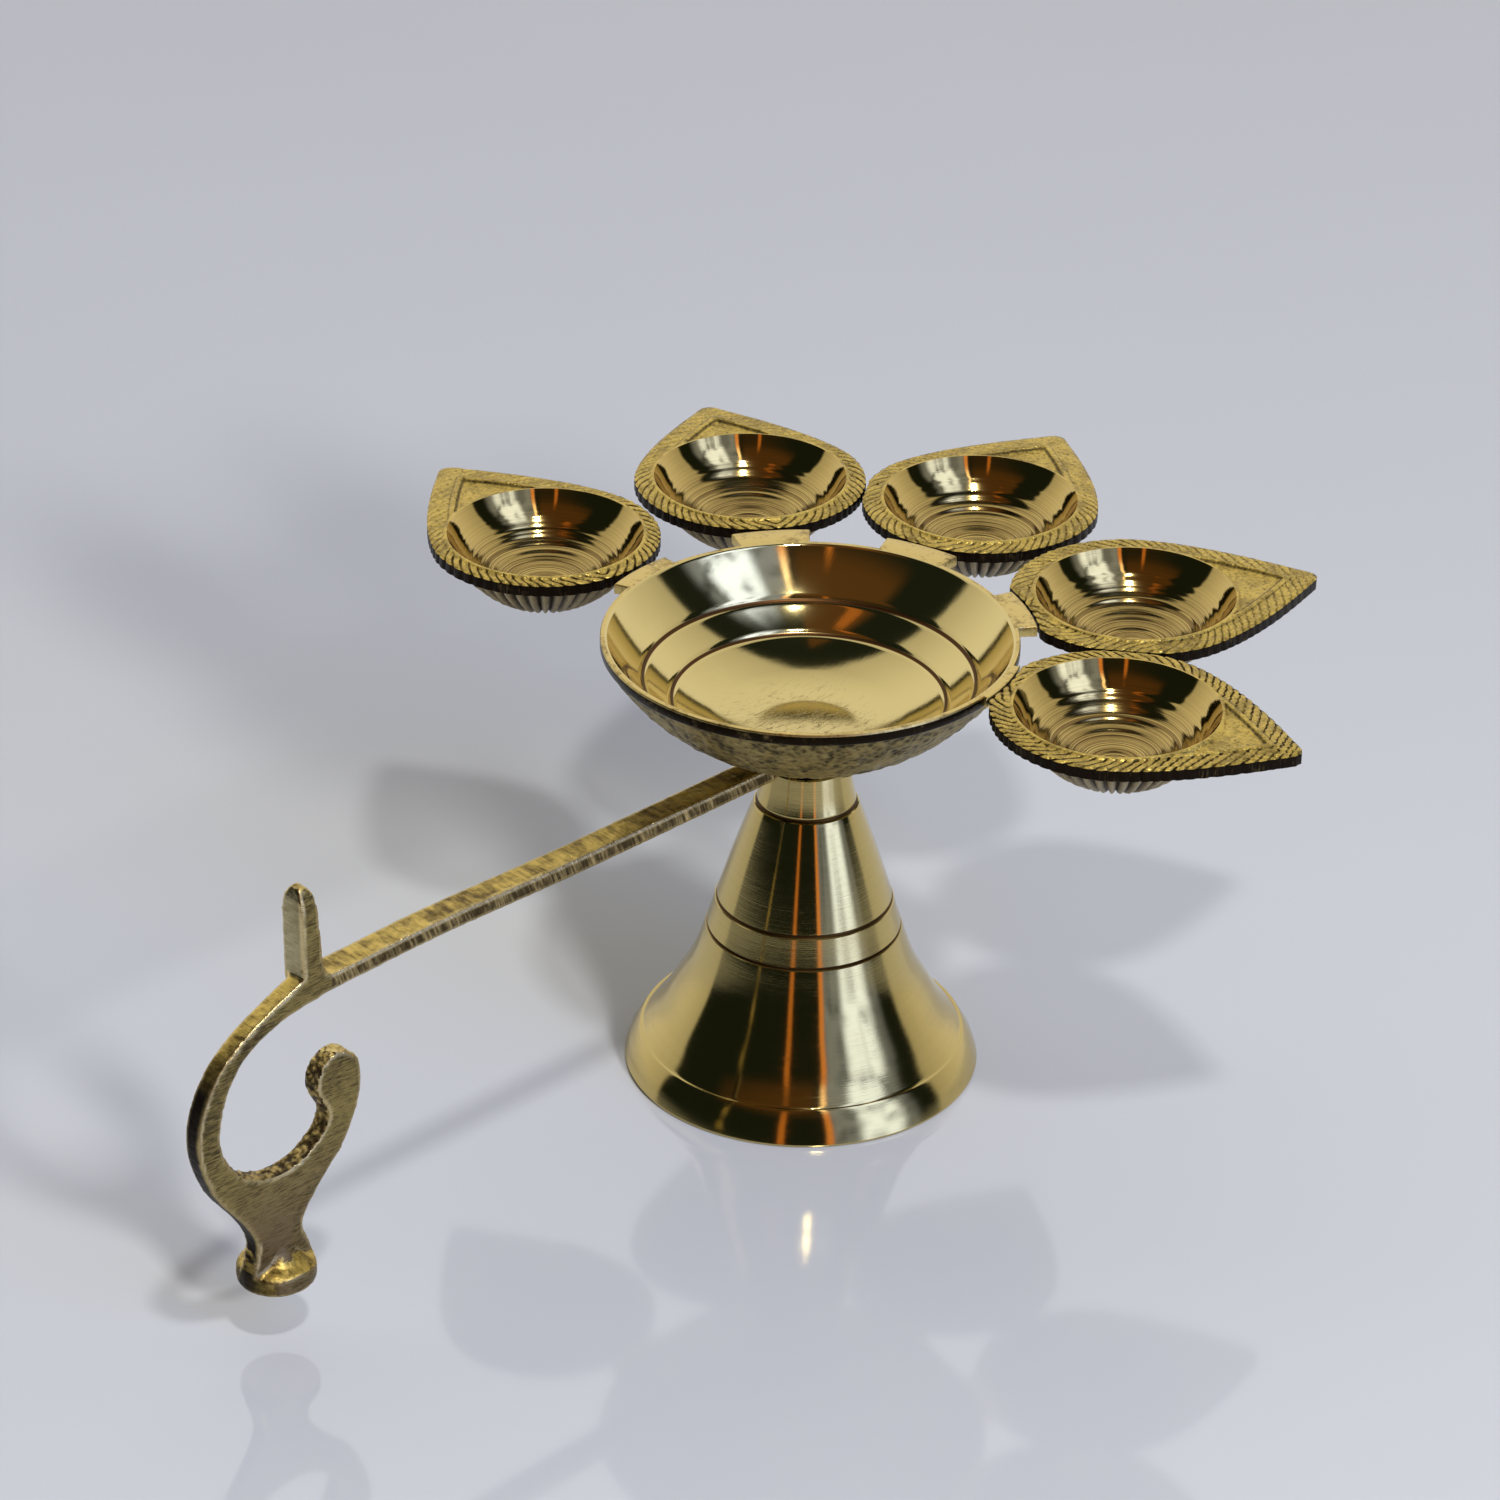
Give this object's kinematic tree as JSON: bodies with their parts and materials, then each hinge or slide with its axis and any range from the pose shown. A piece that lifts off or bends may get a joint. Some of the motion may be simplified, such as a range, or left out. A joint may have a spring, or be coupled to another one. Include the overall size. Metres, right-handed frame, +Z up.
{
  "type": "oil lamp",
  "caption": "Hand-held brass oil lamp for ritual offering, with leaf-shaped wick cups round an oil bowl, a bell foot and a looped cast handle",
  "frame": {"origin": "middle of the plan of the whole lamp, on the surface the foot stands on", "axes": "+Z up along the turned axis of foot and bowl; the handle points along -X and the fan of wick cups along +X"},
  "size_m": [0.2111, 0.1631, 0.078],
  "materials": {
    "turned_brass": "lathe-turned and buffed, fine lines round the axis",
    "polished_brass": "mirror-polished inside, rough engraved skin under the belly",
    "leaf_brass": "cast and engraved top with dark notches, bright turned cup",
    "cast_brass": "sand-cast, coarsely filed, tarnished olive-brown"
  },
  "bodies": {
    "foot": {"bell_foot": "turned_brass"},
    "washer": {"clamp_washer": "turned_brass"},
    "head": {"oil_bowl": "polished_brass", "threaded_stud": "turned_brass", "leaf_cup_1": "leaf_brass", "leaf_cup_2": "leaf_brass", "leaf_cup_3": "leaf_brass", "leaf_cup_4": "leaf_brass", "leaf_cup_5": "leaf_brass"},
    "handle": {"handle": "cast_brass"}
  },
  "joints": [
    {"name": "head_rise", "type": "slide", "parent": "foot", "child": "washer", "axis": [0, 0, 1], "range_m": [0, 0.01135]},
    {"name": "head_turn", "type": "hinge", "parent": "washer", "child": "head", "pos_m": [0.0224, -0.0031, 0.055], "axis": [0, 0, 1], "range_deg": [0, 3240]},
    {"name": "handle_swivel", "type": "hinge", "parent": "washer", "child": "handle", "pos_m": [0.0224, -0.0031, 0.0565], "axis": [0, 0, 1], "continuous": true}
  ],
  "couplings": [
    {"joint": "head_rise", "follows": "head_turn", "m_per_rad": 0.00019894}
  ]
}
